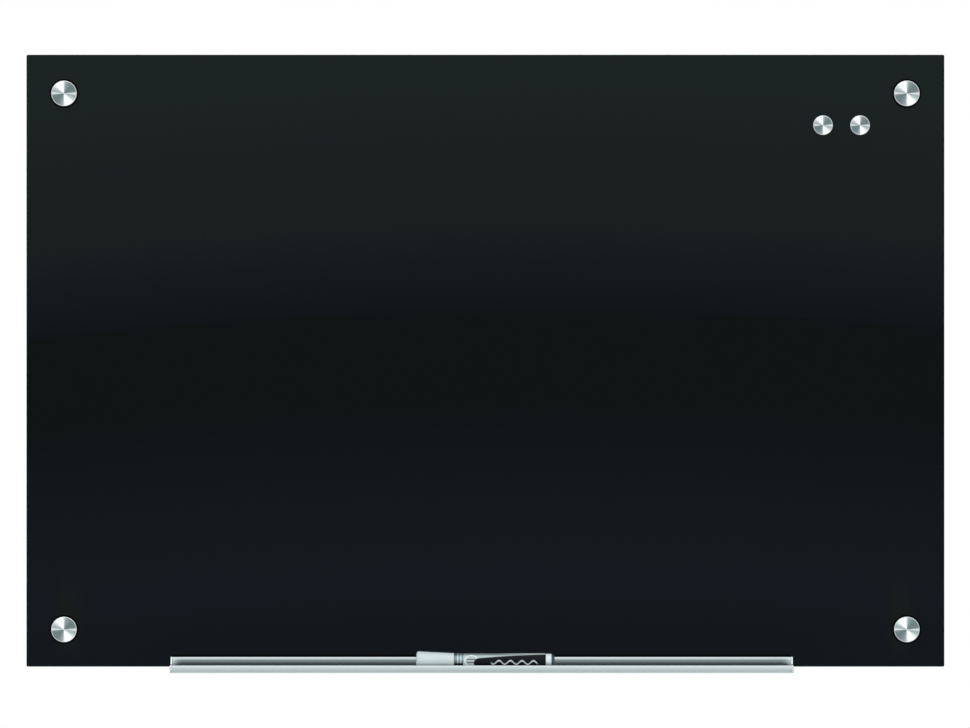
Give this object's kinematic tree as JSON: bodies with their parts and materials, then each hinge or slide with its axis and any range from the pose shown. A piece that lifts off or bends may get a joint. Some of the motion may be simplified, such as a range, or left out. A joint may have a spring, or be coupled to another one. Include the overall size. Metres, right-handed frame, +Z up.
{
  "type": "glass whiteboard",
  "caption": "Frameless black glass marker board on stand-offs with screwed caps, with a sliding aluminium tray, a capped marker and round magnets.",
  "frame": {"origin": "centre of the rectangle of the four stand-offs, on the wall's surface", "axes": "+X to the right seen from the front, +Y into the wall, +Z up; the writing face looks towards -Y"},
  "size_m": [0.9144, 0.0969, 0.6153],
  "materials": {
    "black_glass": "clear glass, opaque black on its back, polished edges",
    "zinc_steel": "galvanised sheet",
    "nylon": "moulded, natural",
    "screw_steel": "zinc plated",
    "spun_aluminium": "turned face with fine concentric marks",
    "black_rubber": "matte black",
    "clear_vinyl": "milky, soft",
    "satin_aluminium": "anodised extrusion, satin",
    "magnet_nickel": "nickel plated",
    "white_plastic": "moulded, semi-gloss",
    "grey_plastic": null,
    "felt": "black inked felt",
    "ink_fibre": "wound fibre"
  },
  "bodies": {
    "board": {"glass_panel": "black_glass", "steel_backing": "zinc_steel", "standoff_barrel_top_left": "spun_aluminium", "standoff_barrel_top_right": "spun_aluminium", "standoff_barrel_bottom_left": "spun_aluminium", "standoff_barrel_bottom_right": "spun_aluminium", "wall_anchor_top_left": "nylon", "wall_anchor_top_right": "nylon", "wall_anchor_bottom_left": "nylon", "wall_anchor_bottom_right": "nylon", "wall_screw_top_left": "screw_steel", "wall_screw_top_right": "screw_steel", "wall_screw_bottom_left": "screw_steel", "wall_screw_bottom_right": "screw_steel", "rear_washer_top_left": "clear_vinyl", "rear_washer_top_right": "clear_vinyl", "rear_washer_bottom_left": "clear_vinyl", "rear_washer_bottom_right": "clear_vinyl", "glass_bushing_top_left": "clear_vinyl", "glass_bushing_top_right": "clear_vinyl", "glass_bushing_bottom_left": "clear_vinyl", "glass_bushing_bottom_right": "clear_vinyl"},
    "washer_top_left": {"front_washer_top_left": "black_rubber"},
    "washer_top_right": {"front_washer_top_right": "black_rubber"},
    "washer_bottom_left": {"front_washer_bottom_left": "black_rubber"},
    "washer_bottom_right": {"front_washer_bottom_right": "black_rubber"},
    "cap_top_left": {"standoff_cap_top_left": "spun_aluminium"},
    "cap_top_right": {"standoff_cap_top_right": "spun_aluminium"},
    "cap_bottom_left": {"standoff_cap_bottom_left": "spun_aluminium"},
    "cap_bottom_right": {"standoff_cap_bottom_right": "spun_aluminium"},
    "magnet_left": {"magnet_shell_left": "spun_aluminium", "magnet_core_left": "magnet_nickel"},
    "magnet_right": {"magnet_shell_right": "spun_aluminium", "magnet_core_right": "magnet_nickel"},
    "tray": {"tray_channel": "satin_aluminium", "tray_gasket": "black_rubber", "tray_end_cap_left": "satin_aluminium", "tray_end_cap_right": "satin_aluminium"},
    "marker": {"marker_barrel": "grey_plastic", "marker_end_plug": "white_plastic", "marker_nib": "felt", "marker_reservoir": "ink_fibre"},
    "marker_cap": {"marker_cap": "white_plastic"}
  },
  "joints": [
    {"name": "washer_travel_top_left", "type": "slide", "parent": "board", "child": "washer_top_left", "axis": [0, -1, 0], "range_m": [0, 0.00876]},
    {"name": "washer_travel_top_right", "type": "slide", "parent": "board", "child": "washer_top_right", "axis": [0, -1, 0], "range_m": [0, 0.00876]},
    {"name": "washer_travel_bottom_left", "type": "slide", "parent": "board", "child": "washer_bottom_left", "axis": [0, -1, 0], "range_m": [0, 0.00876]},
    {"name": "washer_travel_bottom_right", "type": "slide", "parent": "board", "child": "washer_bottom_right", "axis": [0, -1, 0], "range_m": [0, 0.00876]},
    {"name": "cap_turn_top_left", "type": "hinge", "parent": "washer_top_left", "child": "cap_top_left", "pos_m": [-0.4197, -0.0222, 0.2662], "axis": [0, -1, 0], "range_deg": [0, 2520]},
    {"name": "cap_turn_top_right", "type": "hinge", "parent": "washer_top_right", "child": "cap_top_right", "pos_m": [0.4197, -0.0222, 0.2662], "axis": [0, -1, 0], "range_deg": [0, 2520]},
    {"name": "cap_turn_bottom_left", "type": "hinge", "parent": "washer_bottom_left", "child": "cap_bottom_left", "pos_m": [-0.4197, -0.0222, -0.2677], "axis": [0, -1, 0], "range_deg": [0, 2520]},
    {"name": "cap_turn_bottom_right", "type": "hinge", "parent": "washer_bottom_right", "child": "cap_bottom_right", "pos_m": [0.4197, -0.0222, -0.2677], "axis": [0, -1, 0], "range_deg": [0, 2520]},
    {"name": "magnet_pull_left", "type": "slide", "parent": "board", "child": "magnet_left", "axis": [0, -1, 0], "range_m": [0, 0.05]},
    {"name": "magnet_pull_right", "type": "slide", "parent": "board", "child": "magnet_right", "axis": [0, -1, 0], "range_m": [0, 0.05]},
    {"name": "tray_slide", "type": "slide", "parent": "board", "child": "tray", "axis": [1, 0, 0], "range_m": [-0.1431, 0.1505]},
    {"name": "marker_lift", "type": "slide", "parent": "tray", "child": "marker", "axis": [0, 0, 1], "range_m": [0, 0.12]},
    {"name": "marker_cap_pull", "type": "slide", "parent": "marker", "child": "marker_cap", "axis": [-1, 0, 0.0067], "range_m": [0, 0.045]}
  ],
  "couplings": [
    {"joint": "washer_travel_top_left", "follows": "cap_turn_top_left", "m_per_rad": 0.00019894},
    {"joint": "washer_travel_top_right", "follows": "cap_turn_top_right", "m_per_rad": 0.00019894},
    {"joint": "washer_travel_bottom_left", "follows": "cap_turn_bottom_left", "m_per_rad": 0.00019894},
    {"joint": "washer_travel_bottom_right", "follows": "cap_turn_bottom_right", "m_per_rad": 0.00019894}
  ]
}
